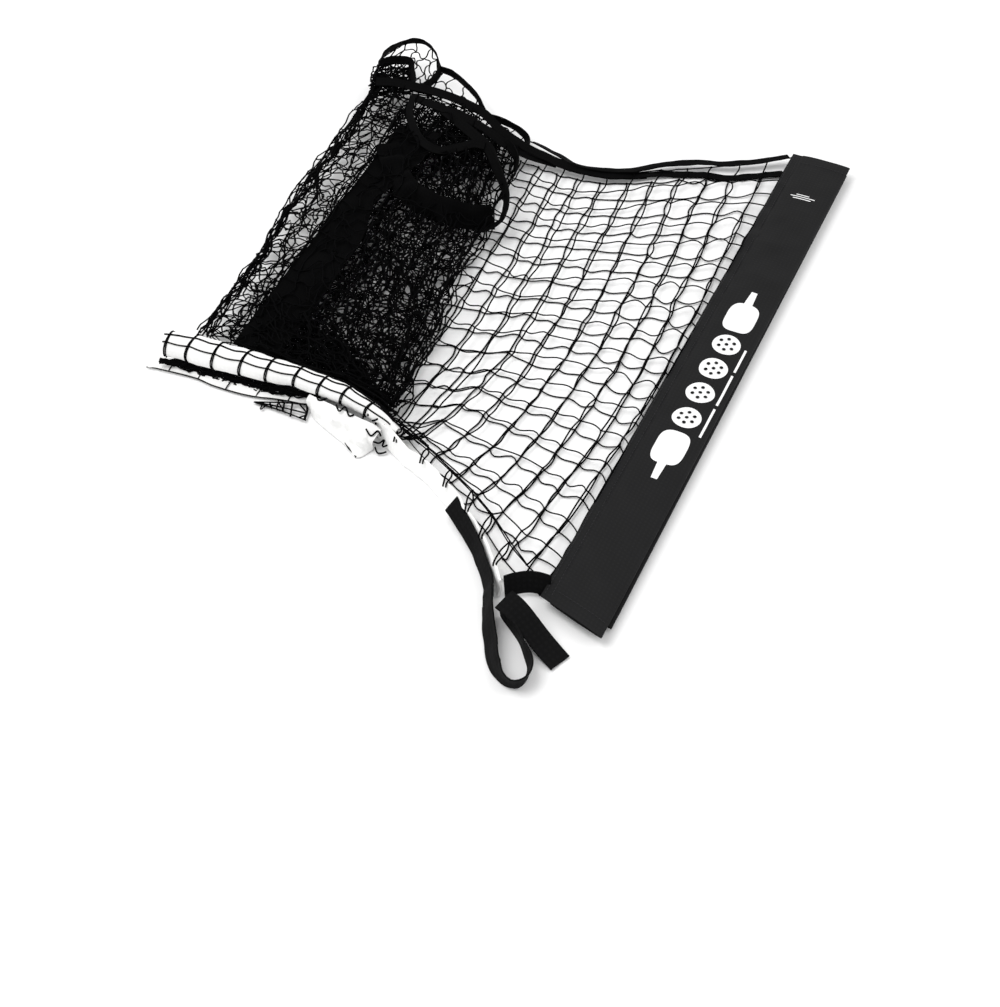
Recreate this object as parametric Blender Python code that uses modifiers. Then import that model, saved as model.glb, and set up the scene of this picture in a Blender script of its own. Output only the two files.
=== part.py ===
"""A folded pickleball net lying on the ground: the netting stack, headband, binding, post sleeves and tension strap."""

import math

import bmesh
import bpy
from mathutils import Vector

# Driving dimensions, in metres. +Y runs along the post sleeves, +X from the stack to the sleeves, +Z up.
SLEEVE_LENGTH = 0.798  # the net's height at its side edge
SLEEVE_WIDTH = 0.0607  # the pocket, pressed flat
SLEEVE_HEIGHT = 0.009
SLEEVE_WALL = 0.001
SLEEVE_OUTER_X = 0.313
SLEEVE_NEAR_Y = -0.364
SLEEVE_A_BASE = 0.0095
SEAM_WIDTH = 0.0115
SEAM_THICK = 0.0012
SLEEVE_B_SHIFT_X = 0.0020
SLEEVE_B_NEAR_Y = -0.343
GAP = 0.0003

MESH_SIZE = 0.045  # netting, knot to knot
MESH_COLUMNS = 9  # between the stack and a sleeve, where the netting is gathered
STRAND = 0.0018
PLIES = 8
PLY_THICK = 0.002
PLY_PITCH = 0.0044
STACK_NEAR_Y = -0.168
OUTER_FOLD = 0.034

HEADBAND_WIDTH = 0.025
HEADBAND_THICK = 0.0014
BINDING_WIDTH = 0.011
BINDING_THICK = 0.0014
WEBBING_WIDTH = 0.024
WEBBING_THICK = 0.0016

LEAF_AXIS = (-0.018, 0.0, 0.031)  # a point on the line where the upper leaf leaves the stack
LEAF_SLOPE = -0.14  # x per y along that line
SLEEVE_AXIS = (0.2395, 0.0, SLEEVE_A_BASE + SLEEVE_HEIGHT / 2)
STRAP_AXIS = (0.2015, -0.3635, 0.012)
TAB_AXIS = (0.2240, -0.3660, 0.0225)
TAIL_AXIS = (0.1900, -0.3590, 0.012)


def stack_left(y):
    """The outer edge of the folds, in plan."""
    return -0.2863 - 0.078 * y


def stack_right(y):
    """The edge of the stack on the sleeves' side, in plan."""
    return LEAF_AXIS[0] + LEAF_SLOPE * y - 0.004


def stack_far(x):
    """Where the plies end, away from the headband."""
    return 0.292 - 0.19 * (x + 0.05)


def smooth(points, count):
    """count + 1 points at even spacing along a smooth curve through the given ones."""
    ends = [Vector(p) for p in points]
    ends = [2 * ends[0] - ends[1], *ends, 2 * ends[-1] - ends[-2]]
    dense = []
    for a, b, c, d in zip(ends, ends[1:], ends[2:], ends[3:]):
        for step in range(24):
            t = step / 24
            dense.append(
                0.5 * (2 * b + (c - a) * t + (2 * a - 5 * b + 4 * c - d) * t**2 + (3 * b - a - 3 * c + d) * t**3)
            )
    dense.append(ends[-2])
    run = [0.0]
    for a, b in zip(dense, dense[1:]):
        run.append(run[-1] + (b - a).length)
    out = []
    at = 0
    for step in range(count + 1):
        want = run[-1] * step / count
        while at < len(run) - 2 and run[at + 1] < want:
            at += 1
        share = (want - run[at]) / max(run[at + 1] - run[at], 1e-9)
        out.append(dense[at].lerp(dense[at + 1], share))
    return out


def material(name, colour, roughness, metallic=0.0):
    made = bpy.data.materials.new(name)
    made.use_nodes = True
    shader = made.node_tree.nodes["Principled BSDF"]
    shader.inputs["Base Color"].default_value = (*colour, 1)
    shader.inputs["Roughness"].default_value = roughness
    shader.inputs["Metallic"].default_value = metallic
    made.diffuse_color = (*colour, 1)
    return made


def axis_empty(name, place, parent=None):
    made = bpy.data.objects.new(name, None)
    made.location = Vector(place) - (Vector(parent["place"]) if parent else Vector())
    made["place"] = place
    made.empty_display_size = 0.03
    made.parent = parent
    net.objects.link(made)
    return made


def sheet(name, point_at, across, along, mat, thick=None, axis=None, ring=False):
    """A grid laid over point_at(u, v), u and v from 0 to 1. It gets a thickness, or becomes strands if it has none."""
    place = Vector(axis["place"]) if axis else Vector()
    bm = bmesh.new()
    bmesh.ops.create_grid(bm, x_segments=across, y_segments=along, size=0.5)
    for vert in bm.verts:
        vert.co = Vector(point_at(vert.co.x + 0.5, vert.co.y + 0.5)) - place
    if ring:
        bmesh.ops.remove_doubles(bm, verts=bm.verts, dist=1e-5)
        bmesh.ops.recalc_face_normals(bm, faces=bm.faces)
    mesh = bpy.data.meshes.new(name)
    bm.to_mesh(mesh)
    bm.free()
    mesh.materials.append(mat)
    made = bpy.data.objects.new(name, mesh)
    made.parent = axis
    net.objects.link(made)
    if thick is None:
        wires = made.modifiers.new("Strands", "WIREFRAME")
        wires.thickness = STRAND
        wires.use_boundary = True
        wires.use_replace = True
    else:
        wall = made.modifiers.new("Thickness", "SOLIDIFY")
        wall.thickness = thick
        wall.offset = -1 if ring else 0
        wall.use_even_offset = True
    return made


def ribbon(name, points, width, thick, lean, mat, axis=None, count=20):
    """A tape along the points, which are its centre line. lean is its angle from lying flat, 90 on edge."""
    path = smooth(points, count)
    sides = []
    for i in range(count + 1):
        way = path[min(i + 1, count)] - path[max(i - 1, 0)]
        left = Vector((-way.y, way.x, 0)).normalized()
        angle = math.radians(lean(i / count) if callable(lean) else lean)
        sides.append((left * math.cos(angle) + Vector((0, 0, math.sin(angle)))) * width)

    def point_at(u, v):
        i = round(v * count)
        return path[i] + sides[i] * (u - 0.5)

    return sheet(name, point_at, 1, count, mat, thick, axis)


def tube(name, points, radius, mat, axis=None, count=24):
    """A soft roll along the points."""
    place = Vector(axis["place"]) if axis else Vector()
    curve = bpy.data.curves.new(name, "CURVE")
    curve.dimensions = "3D"
    curve.bevel_depth = radius
    curve.bevel_resolution = 2
    curve.use_fill_caps = True
    line = curve.splines.new("POLY")
    path = smooth(points, count)
    line.points.add(len(path) - 1)
    for point, co in zip(line.points, path):
        point.co = (*(co - place), 1)
    curve.materials.append(mat)
    made = bpy.data.objects.new(name, curve)
    made.parent = axis
    net.objects.link(made)
    return made


def sleeve(name, seam_name, outer_x, near_y, length, base, axis=None):
    """A pole pocket pressed flat, open at both ends, and the seam tape that holds the netting to it."""
    half = SLEEVE_HEIGHT / 2
    inner_x = outer_x - SLEEVE_WIDTH
    outline = [
        (inner_x, half),
        (inner_x + 0.004, SLEEVE_HEIGHT),
        (outer_x - 0.004, SLEEVE_HEIGHT),
        (outer_x, half),
        (outer_x - 0.004, 0.0),
        (inner_x + 0.004, 0.0),
    ]

    def end_y(x, v):
        near = near_y + 0.30 * (outer_x - x)
        return near + v * (near_y + length - near)

    def pocket(u, v):
        x, z = outline[round(u * 6) % 6]
        return x, end_y(x, v), base + z

    def seam(u, v):
        x = inner_x - GAP - SEAM_WIDTH * (1 - u)
        return x, end_y(x, v), base + half

    sheet(name, pocket, 6, 1, cloth, SLEEVE_WALL, axis, ring=True)
    sheet(seam_name, seam, 1, 1, cloth, SEAM_THICK, axis)


def netting_panel(name, near_edge, far_edge, height, across, along, axis=None):
    """Flat netting between two edges, each given from the stack to the sleeve."""
    near = smooth(near_edge, across)
    far = smooth(far_edge, across)

    def point_at(u, v):
        i = round(u * across)
        spot = near[i].lerp(far[i], v)
        return spot.x, spot.y, height(u)

    return sheet(name, point_at, across, along, netting, None, axis)


for old in list(bpy.data.objects):
    bpy.data.objects.remove(old)

net = bpy.data.collections.new("pickleball_net")
bpy.context.scene.collection.children.link(net)

netting = material("netting", (0.020, 0.020, 0.022), 0.75)
cloth = material("sleeve_cloth", (0.028, 0.028, 0.032), 0.80)
tape = material("headband_tape", (0.88, 0.88, 0.87), 0.65)
binding = material("binding_tape", (0.022, 0.022, 0.024), 0.70)
webbing = material("strap_webbing", (0.026, 0.026, 0.028), 0.80)

leaf = axis_empty("leaf_axis", LEAF_AXIS)
sleeve_turn = axis_empty("sleeve_a_axis", SLEEVE_AXIS, leaf)
strap_turn = axis_empty("strap_loop_axis", STRAP_AXIS, leaf)
tab_turn = axis_empty("strap_tab_axis", TAB_AXIS, strap_turn)
tail_turn = axis_empty("strap_tail_axis", TAIL_AXIS, leaf)

# The stack: one run of netting laid back and forth, its folds not quite in line.
fold_line = []
for ply in range(PLIES):
    z = PLY_THICK / 2 + PLY_PITCH * ply
    rightwards = ply % 2 == 0
    for end in (0, 1):
        side = end if rightwards else 1 - end
        fold = ply if end else ply - 1
        inset = 0.004 + 0.004 * math.sin(2.3 * fold)
        fold_line.append((side, -inset if side else inset, z))
    if ply < PLIES - 1:
        side = 1 if rightwards else 0
        _, reach, _ = fold_line[-1]
        for step in (1, 2, 3):
            angle = math.pi * step / 4
            bulge = PLY_PITCH / 2 * math.sin(angle)
            lift = PLY_PITCH / 2 * (1 - math.cos(angle))
            fold_line.append((side, reach + (bulge if side else -bulge), z + lift))


def stack_point(u, v):
    side, reach, z = fold_line[round(u * (len(fold_line) - 1))]
    far = stack_far(stack_right(0.2) if side else stack_left(0.2))
    y = STACK_NEAR_Y + v * (far - STACK_NEAR_Y)
    left = stack_left(y) + OUTER_FOLD + GAP
    return left + side * (stack_right(y) - left) + reach, y, z


sheet("netting_folded_stack", stack_point, len(fold_line) - 1, 5, netting, PLY_THICK)

# One fold that sticks out past the others, doubled over.
outer_fold_line = [(1.0, 0.001), (0.15, 0.001), (0.03, 0.003), (0.0, 0.006), (0.03, 0.009), (0.15, 0.011), (1.0, 0.011)]


def outer_fold_point(u, v):
    side, z = outer_fold_line[round(u * 6)]
    y = STACK_NEAR_Y + 0.016 + v * (0.352 - STACK_NEAR_Y)
    return stack_left(y) + 0.001 + side * (OUTER_FOLD - 0.008), y, z


sheet("netting_outer_fold", outer_fold_point, 6, 5, netting, PLY_THICK)

# The netting that curls up inside the binding's loops at the far end.
far_rim = smooth([(-0.306, 0.392, 0.030), (-0.282, 0.428, 0.043), (-0.262, 0.428, 0.043), (-0.232, 0.400, 0.032)], 8)
far_foot = smooth([(-0.300, 0.352, 0.037), (-0.270, 0.350, 0.040), (-0.245, 0.350, 0.040), (-0.222, 0.350, 0.036)], 8)


def far_fold_point(u, v):
    i = round(u * 8)
    spot = far_foot[i].lerp(far_rim[i], v)
    return spot.x, spot.y, spot.z + 0.004 * math.sin(math.pi * v)


sheet("netting_far_fold", far_fold_point, 8, 3, netting, PLY_THICK)

# The flat netting between the stack and the sleeves, upper and lower.
across = MESH_COLUMNS
along = round(SLEEVE_LENGTH / MESH_SIZE) - 1


def upper_height(u):
    fall = max(0.0, 1 - u / 0.22)
    rise = max(0.0, (u - 0.80) / 0.20)
    return 0.0068 + (LEAF_AXIS[2] - 0.0068) * fall**1.4 + (SLEEVE_AXIS[2] - 0.0068) * rise**1.5


def lower_height(u):
    rise = max(0.0, (u - 0.80) / 0.20)
    return STRAND / 2 + (SLEEVE_HEIGHT / 2 - STRAND / 2) * rise**1.5


netting_panel(
    "netting_upper_panel",
    [(0.0125, -0.198, 0), (0.075, -0.228, 0), (0.130, -0.264, 0), (0.190, -0.312, 0), (0.2368, -0.3285, 0)],
    [(-0.0600, 0.304, 0), (0.010, 0.298, 0), (0.080, 0.316, 0), (0.150, 0.365, 0), (0.2368, 0.420, 0)],
    upper_height, across, along, leaf,
)
netting_panel(
    "netting_lower_panel",
    [(0.0085, -0.188, 0), (0.070, -0.222, 0), (0.130, -0.262, 0), (0.190, -0.306, 0), (0.2405, -0.3085, 0)],
    [(-0.0560, 0.290, 0), (0.010, 0.286, 0), (0.080, 0.306, 0), (0.150, 0.353, 0), (0.2405, 0.395, 0)],
    lower_height, across, along,
)

# The net's centre band, lying between the stack's two top plies.
band_z = PLY_THICK / 2 + PLY_PITCH * (PLIES - 1.5)


def band_point(u, v):
    y = -0.164 + v * 0.455
    return -0.201 - 0.020 * y + 0.062 * u, y, band_z


sheet("centre_band", band_point, 1, 4, cloth, 0.0010)

# Headband: folded white tape, rolled over the stack's near end, then running on edge to the sleeves.
tube(
    "headband_stack_roll",
    [(-0.268, -0.214, 0.029), (-0.232, -0.198, 0.032), (-0.170, -0.190, 0.033), (-0.100, -0.190, 0.033),
     (-0.045, -0.192, 0.032), (-0.014, -0.197, 0.031)],
    0.0125, tape,
)
ribbon(
    "headband_stack_lower_run",
    [(-0.283, -0.222, 0.0125), (-0.223, -0.209, 0.0125), (-0.160, -0.205, 0.0125), (-0.100, -0.197, 0.0125),
     (-0.050, -0.188, 0.0125), (-0.008, -0.184, 0.0125)],
    0.012, HEADBAND_THICK, 100, tape,
)
ribbon(
    "headband_rolled_end",
    [(-0.088, -0.216, 0.0115), (-0.058, -0.236, 0.0115), (-0.026, -0.243, 0.0110), (-0.004, -0.233, 0.0105),
     (-0.006, -0.219, 0.0110), (-0.024, -0.216, 0.0115), (-0.036, -0.224, 0.0120)],
    0.020, HEADBAND_THICK, 88, tape,
)
ribbon(
    "headband_upper_run",
    [(0.0150, -0.2150, 0.0175), (0.040, -0.2310, 0.0165), (0.076, -0.2450, 0.0160), (0.119, -0.2720, 0.0155),
     (0.160, -0.3060, 0.0155), (0.184, -0.3300, 0.0150), (0.1985, -0.3450, 0.0150)],
    HEADBAND_WIDTH, HEADBAND_THICK, 84, tape, leaf,
)
ribbon(
    "headband_lower_run",
    [(0.0160, -0.2000, 0.0010), (0.060, -0.2300, 0.0010), (0.110, -0.2610, 0.0010), (0.160, -0.3020, 0.0010),
     (0.2050, -0.3260, 0.0010)],
    0.012, HEADBAND_THICK, 0, tape,
)

# Binding on the lower edge.
ribbon(
    "binding_upper_run",
    [(0.2330, 0.4270, 0.0138), (0.183, 0.4000, 0.0100), (0.142, 0.3700, 0.0095), (0.099, 0.3400, 0.0095),
     (0.060, 0.3180, 0.0100), (0.020, 0.3130, 0.0120), (-0.024, 0.3150, 0.0170), (-0.0590, 0.3160, 0.0290)],
    BINDING_WIDTH, BINDING_THICK, 12, binding, leaf,
)
ribbon(
    "binding_lower_run",
    [(0.2330, 0.4050, 0.0035), (0.190, 0.3880, 0.0010), (0.120, 0.3450, 0.0010), (0.057, 0.3070, 0.0010),
     (0.008, 0.2990, 0.0010), (-0.0500, 0.3050, 0.0010)],
    BINDING_WIDTH, BINDING_THICK, 0, binding,
)
ribbon(
    "binding_fold_loop_1",
    [(-0.3100, 0.3880, 0.0240), (-0.300, 0.4180, 0.0330), (-0.282, 0.4350, 0.0370), (-0.264, 0.4350, 0.0370),
     (-0.244, 0.4240, 0.0330), (-0.226, 0.4010, 0.0240), (-0.2140, 0.3740, 0.0170), (-0.2120, 0.3530, 0.0130)],
    BINDING_WIDTH, BINDING_THICK, 62, binding,
)
ribbon(
    "binding_fold_loop_2",
    [(-0.2160, 0.4000, 0.0140), (-0.195, 0.3950, 0.0240), (-0.172, 0.3800, 0.0240), (-0.151, 0.3640, 0.0180),
     (-0.1400, 0.3520, 0.0110)],
    BINDING_WIDTH, BINDING_THICK, 70, binding,
)
ribbon(
    "binding_fold_loop_3",
    [(-0.1320, 0.3480, 0.0100), (-0.107, 0.3420, 0.0140), (-0.086, 0.3380, 0.0140), (-0.0700, 0.3280, 0.0090)],
    BINDING_WIDTH, BINDING_THICK, 70, binding,
)
ribbon(
    "binding_stack_run",
    [(-0.2200, 0.3380, 0.0410), (-0.203, 0.3430, 0.0400), (-0.177, 0.3420, 0.0390), (-0.150, 0.3390, 0.0330),
     (-0.125, 0.3240, 0.0290), (-0.100, 0.3130, 0.0250), (-0.0800, 0.3110, 0.0210)],
    BINDING_WIDTH, 0.0030, 30, binding,
)
ribbon(
    "binding_inner_loop",
    [(-0.2250, 0.3050, 0.0398), (-0.205, 0.2650, 0.0398), (-0.186, 0.2370, 0.0398), (-0.161, 0.2230, 0.0398),
     (-0.139, 0.2260, 0.0398), (-0.124, 0.2510, 0.0398), (-0.108, 0.2640, 0.0398), (-0.094, 0.2580, 0.0398)],
    0.0115, BINDING_THICK, 76, binding, count=24,
)

# Post sleeves, A lying on B.
sleeve("post_sleeve_a", "sleeve_a_seam_tape", SLEEVE_OUTER_X, SLEEVE_NEAR_Y, SLEEVE_LENGTH, SLEEVE_A_BASE, sleeve_turn)
sleeve(
    "post_sleeve_b", "sleeve_b_seam_tape", SLEEVE_OUTER_X + SLEEVE_B_SHIFT_X, SLEEVE_B_NEAR_Y,
    SLEEVE_NEAR_Y + SLEEVE_LENGTH - SLEEVE_B_NEAR_Y - 0.004, 0.0,
)

# Tension strap, sewn to the headband's end.
ribbon(
    "tension_strap_bridge",
    [(0.2070, -0.3450, 0.0130), (0.216, -0.3390, 0.0135), (0.226, -0.3350, 0.0130), (0.2355, -0.3340, 0.0110)],
    0.017, WEBBING_THICK, 84, webbing, leaf, count=8,
)
ribbon(
    "headband_end_tack",
    [(0.1945, -0.3530, 0.0130), (0.1990, -0.3545, 0.0130), (0.2035, -0.3535, 0.0130)],
    0.022, 0.0030, 90, webbing, leaf, count=2,
)
ribbon(
    "tension_strap_tail",
    [(0.1050, -0.2680, 0.0125), (0.140, -0.3060, 0.0125), (0.169, -0.3400, 0.0125), (0.1865, -0.3575, 0.0125)],
    WEBBING_WIDTH, WEBBING_THICK, 78, webbing, tail_turn, count=14,
)
ribbon(
    "tension_strap_loop",
    [(0.1985, -0.3665, 0.0085), (0.212, -0.3980, 0.0085), (0.232, -0.4280, 0.0085), (0.251, -0.4391, 0.0085),
     (0.260, -0.4320, 0.0085), (0.252, -0.4150, 0.0085), (0.232, -0.3930, 0.0085), (0.2085, -0.3720, 0.0085)],
    0.0165, WEBBING_THICK, 90, webbing, strap_turn, count=28,
)
ribbon(
    "tension_strap_tab",
    [(0.2240, -0.3660, 0.0225), (0.238, -0.3735, 0.0225), (0.254, -0.3810, 0.0165), (0.270, -0.3880, 0.0060),
     (0.2830, -0.3940, 0.0010)],
    WEBBING_WIDTH, WEBBING_THICK, 0, webbing, tab_turn, count=12,
)

for made in net.objects:
    if made.type == "MESH":
        made.data.shade_smooth()
        made.data.set_sharp_from_angle(angle=math.radians(40))
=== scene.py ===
"""The looks of a folded pickleball net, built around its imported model.

Everything is in metres in the model's own frame: +Y runs along the post sleeves, +X from the folded stack to
the sleeves, +Z up. Netting is real strands with knots, and every tape, band and sleeve is cloth with a
thickness.
"""

import math

import bmesh
import bpy
import numpy as np
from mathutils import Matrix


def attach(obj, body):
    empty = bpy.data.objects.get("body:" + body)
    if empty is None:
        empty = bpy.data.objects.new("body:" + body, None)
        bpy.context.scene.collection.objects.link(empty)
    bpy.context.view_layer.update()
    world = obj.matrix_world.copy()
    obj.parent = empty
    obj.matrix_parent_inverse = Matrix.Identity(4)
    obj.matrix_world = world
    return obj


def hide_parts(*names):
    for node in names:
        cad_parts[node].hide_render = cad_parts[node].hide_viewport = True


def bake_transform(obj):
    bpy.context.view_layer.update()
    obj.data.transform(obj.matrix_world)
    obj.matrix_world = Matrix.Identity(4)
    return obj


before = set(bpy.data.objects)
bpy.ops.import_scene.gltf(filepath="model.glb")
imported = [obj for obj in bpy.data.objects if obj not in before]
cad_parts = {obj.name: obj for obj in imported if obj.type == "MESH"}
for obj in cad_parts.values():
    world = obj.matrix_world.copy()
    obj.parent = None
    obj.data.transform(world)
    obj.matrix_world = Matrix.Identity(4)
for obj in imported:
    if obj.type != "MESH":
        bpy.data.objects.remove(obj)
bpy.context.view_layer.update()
rng = np.random.default_rng(11)

ROWS = 17  # cells of netting from the headband to the binding
STRAND = 0.00092  # radius of the netting's twine
REST = 0.0010  # the lowest that the middle of a strand or a tape lies
LEAF = np.array((-0.018, 0.0, 0.031))  # where the upper leaf leaves the stack
PATH_STEPS = 24


# ---------------------------------------------------------------- curves and meshes


def smooth(points, count):
    """count + 1 points at even spacing along a smooth curve through the given ones."""
    p = np.array(points, float)
    p = np.vstack([2 * p[0] - p[1], p, 2 * p[-1] - p[-2]])
    t = np.linspace(0, 1, PATH_STEPS, endpoint=False)[:, None]
    dense = []
    for a, b, c, d in zip(p, p[1:], p[2:], p[3:]):
        dense.append(
            0.5 * (2 * b + (c - a) * t + (2 * a - 5 * b + 4 * c - d) * t**2 + (3 * b - a - 3 * c + d) * t**3)
        )
    dense = np.vstack([*dense, p[-2:-1]])
    run = np.concatenate([[0], np.cumsum(np.linalg.norm(np.diff(dense, axis=0), axis=1))])
    want = np.linspace(0, run[-1], count + 1)
    return np.stack([np.interp(want, run, dense[:, k]) for k in range(3)], axis=1)


def unit(v):
    return v / np.maximum(np.linalg.norm(v, axis=-1, keepdims=True), 1e-9)


def ramp_up(x, low, high):
    """0 below low, 1 above high, and smooth between."""
    t = np.clip((x - low) / (high - low), 0, 1)
    return t * t * (3 - 2 * t)


def waves(scale, seed, octaves=3):
    """A smooth, repeatable noise over the plane, about -1 to 1, whose features are scale across."""
    made = np.random.default_rng(seed)
    terms = []
    for octave in range(octaves):
        for _ in range(5):
            angle = made.uniform(0, 2 * math.pi)
            turn = 2 * math.pi / (scale * made.uniform(0.7, 1.4)) * 1.7**octave
            phase, size = made.uniform(0, 6.3), 0.55 / 1.6**octave
            terms.append((math.cos(angle) * turn, math.sin(angle) * turn, phase, size))

    def at(x, y):
        return sum(a * np.sin(kx * x + ky * y + phase) for kx, ky, phase, a in terms)

    return at


def add_mesh(name, points, faces, material, body=None, uv=None, sharp=None):
    mesh = bpy.data.meshes.new(name)
    mesh.from_pydata(np.asarray(points), [], faces)
    if uv is not None:
        layer = mesh.uv_layers.new(name="cloth")
        corner = np.empty(len(mesh.loops), np.int32)
        mesh.loops.foreach_get("vertex_index", corner)
        layer.data.foreach_set("uv", np.asarray(uv, np.float32)[corner].ravel())
    mesh.materials.append(material)
    mesh.validate()
    mesh.shade_smooth()
    if sharp:
        mesh.set_sharp_from_angle(angle=math.radians(sharp))
    made = bpy.data.objects.new(name, mesh)
    bpy.context.collection.objects.link(made)
    if body == "hinged":
        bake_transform(made)
    elif body:
        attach(made, body)
    return made


def strands(name, lines, material, body, sides=6):
    """Twine along each line of points, closed at its ends. A line is (points, radius or radii)."""
    all_points, all_faces, base = [], [], 0
    around = np.linspace(0, 2 * math.pi, sides, endpoint=False)
    tilt = unit(np.array((0.21, 0.13, 0.97)))
    fan = np.array([(0, k, k + 1, k + 2) for k in range(1, sides - 2, 2)])
    for points, radii in lines:
        points = np.asarray(points, float)
        way = unit(np.gradient(points, axis=0))
        side = unit(np.cross(way, tilt))
        up = np.cross(side, way)
        ring = side[:, None] * np.cos(around)[None, :, None] + up[:, None] * np.sin(around)[None, :, None]
        wide = np.broadcast_to(np.asarray(radii, float), (len(points),))
        all_points.append((points[:, None] + ring * wide[:, None, None]).reshape(-1, 3))
        n = len(points)
        i, k = np.meshgrid(np.arange(n - 1), np.arange(sides), indexing="ij")
        a, b = base + i * sides + k, base + i * sides + (k + 1) % sides
        all_faces.append(np.stack([a, a + sides, b + sides, b], axis=-1).reshape(-1, 4))
        all_faces.append(base + fan)
        all_faces.append((base + (n - 1) * sides + fan)[:, ::-1])
        base += n * sides
    return add_mesh(name, np.vstack(all_points), np.vstack(all_faces), material, body)


def slab(name, grid, thick, material, body=None, sharp=50):
    """Cloth over a grid of points, with a thickness. Its UV is in metres, along and across."""
    grid = np.asarray(grid, float)
    along = np.gradient(grid, axis=0)
    across = np.gradient(grid, axis=1)
    normal = unit(np.cross(along, across))
    a, b = grid.shape[:2]
    off = normal * thick / 2
    points = np.concatenate([(grid + off).reshape(-1, 3), (grid - off).reshape(-1, 3)])
    i, k = np.meshgrid(np.arange(a - 1), np.arange(b - 1), indexing="ij")
    first = (i * b + k).ravel()
    top = np.stack([first, first + b, first + b + 1, first + 1], axis=1)
    n = a * b
    rim = np.concatenate([
        np.arange(0, b), np.arange(2 * b - 1, n, b),
        np.arange(n - 2, n - b - 1, -1), np.arange(n - 2 * b, 0, -b),
    ])
    after = np.roll(rim, -1)
    walls = np.stack([rim, after, after + n, rim + n], axis=1)
    run = np.concatenate([[0], np.cumsum(np.linalg.norm(np.diff(grid, axis=0), axis=2).mean(axis=1))])
    wide = np.concatenate([[0], np.cumsum(np.linalg.norm(np.diff(grid, axis=1), axis=2).mean(axis=0))])
    uv = np.stack(np.meshgrid(run, wide, indexing="ij"), axis=-1).reshape(-1, 2)
    faces = np.concatenate([top, top[:, ::-1] + n, walls])
    return add_mesh(name, points, faces, material, body, np.vstack([uv, uv]), sharp)


def tape_grid(points, width, lean, count=60, across=4, ripple=0.0, seed=1, curl=0.0):
    """The grid of a tape along its centre line. lean is in degrees from lying flat, or one angle per point."""
    path = smooth(points, count)
    way = unit(np.gradient(path, axis=0))
    left = unit(np.stack([-way[:, 1], way[:, 0], np.zeros(len(way))], axis=1))
    spots = np.linspace(0, 1, count + 1)
    lean = np.radians(np.interp(spots, np.linspace(0, 1, np.size(lean)), np.ravel(lean)))[:, None]
    side = left * np.cos(lean) + np.array((0, 0, 1.0)) * np.sin(lean)
    face = unit(np.cross(way, side))
    v = np.linspace(-0.5, 0.5, across + 1)
    noise = waves(0.05, seed)
    run = np.linspace(0, np.linalg.norm(np.diff(path, axis=0), axis=1).sum(), count + 1)
    bend = ripple * noise(run[:, None], v[None, :] * 0.03) + curl * (v[None, :] ** 2 - 0.1) * width
    grid = path[:, None] + side[:, None] * (v * width)[None, :, None] + face[:, None] * bend[:, :, None]
    grid[..., 2] = np.maximum(grid[..., 2], REST)
    return grid


def net_lines(place, cols, rows, sub, jitter, lift, along, across, radii=(STRAND, STRAND), knot=1.75):
    """The twine of knotted netting, cols by rows cells, laid where place(u, v) puts it. u and v are in cells.

    Knots wander by jitter of a cell, and rise or fall by lift. along(i, j) and across(i, j) give how far the
    strand after that knot bows out, in cells: along is for strands that run in v, across for those in u.
    """
    i, j = np.meshgrid(np.arange(cols + 1.0), np.arange(rows + 1.0), indexing="ij")
    knots = np.stack([i, j], axis=-1)
    inner = (np.minimum(i, cols - i) > 0) * 0.5 + 0.5
    knots += rng.normal(0, jitter, knots.shape) * inner[..., None]
    heights = rng.normal(0, lift, i.shape)
    t = np.arange(sub) / sub
    lines = []

    def lay(path, height, bows, sideways, radius):
        arc, swing = bows
        p, q = path[:-1, None], path[1:, None]
        off = np.asarray(arc)[:, None] * np.sin(math.pi * t)
        off = off + np.asarray(swing)[:, None] * np.sin(2 * math.pi * t)
        points = p + (q - p) * t[None, :, None] + off[..., None] * np.array(sideways)
        h = height[:-1, None] + (height[1:] - height[:-1])[:, None] * t[None, :]
        points = np.vstack([points.reshape(-1, 2), path[-1:]])
        spots = place(points[:, 0], points[:, 1])
        spots[:, 2] = np.maximum(spots[:, 2] + np.concatenate([h.ravel(), height[-1:]]), REST)
        lines.append((spots, radius))

    for k in range(cols + 1):
        lay(knots[k], heights[k], along(i[k, :-1], j[k, :-1]), (1.0, 0.0), radii[0])
    for k in range(rows + 1):
        lay(knots[:, k], heights[:, k], across(i[:-1, k], j[:-1, k]), (0.0, 1.0), radii[1])
    spots = place(knots[..., 0].ravel(), knots[..., 1].ravel())
    spots[:, 2] = np.maximum(spots[:, 2] + heights.ravel(), STRAND * knot)
    ways = unit(rng.normal(0, 1, spots.shape) * (0.35, 1, 0.15))
    swell = np.array((0.35, 1.0, 0.35)) * STRAND * knot
    for spot, way in zip(spots, ways):
        lines.append((spot + way * np.array((-1.0, 0, 1.0))[:, None] * STRAND * knot * 0.9, swell))
    return lines


# ---------------------------------------------------------------- materials


def material(name):
    made = bpy.data.materials.new(name)
    made.use_nodes = True
    return made, made.node_tree.nodes, made.node_tree.links, made.node_tree.nodes["Principled BSDF"]


def finish_shader(shader, rough, specular, sheen=0.0):
    shader.inputs["Roughness"].default_value = rough
    shader.inputs["Specular IOR Level"].default_value = specular
    shader.inputs["Sheen Weight"].default_value = sheen
    shader.inputs["Sheen Roughness"].default_value = 0.5


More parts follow.
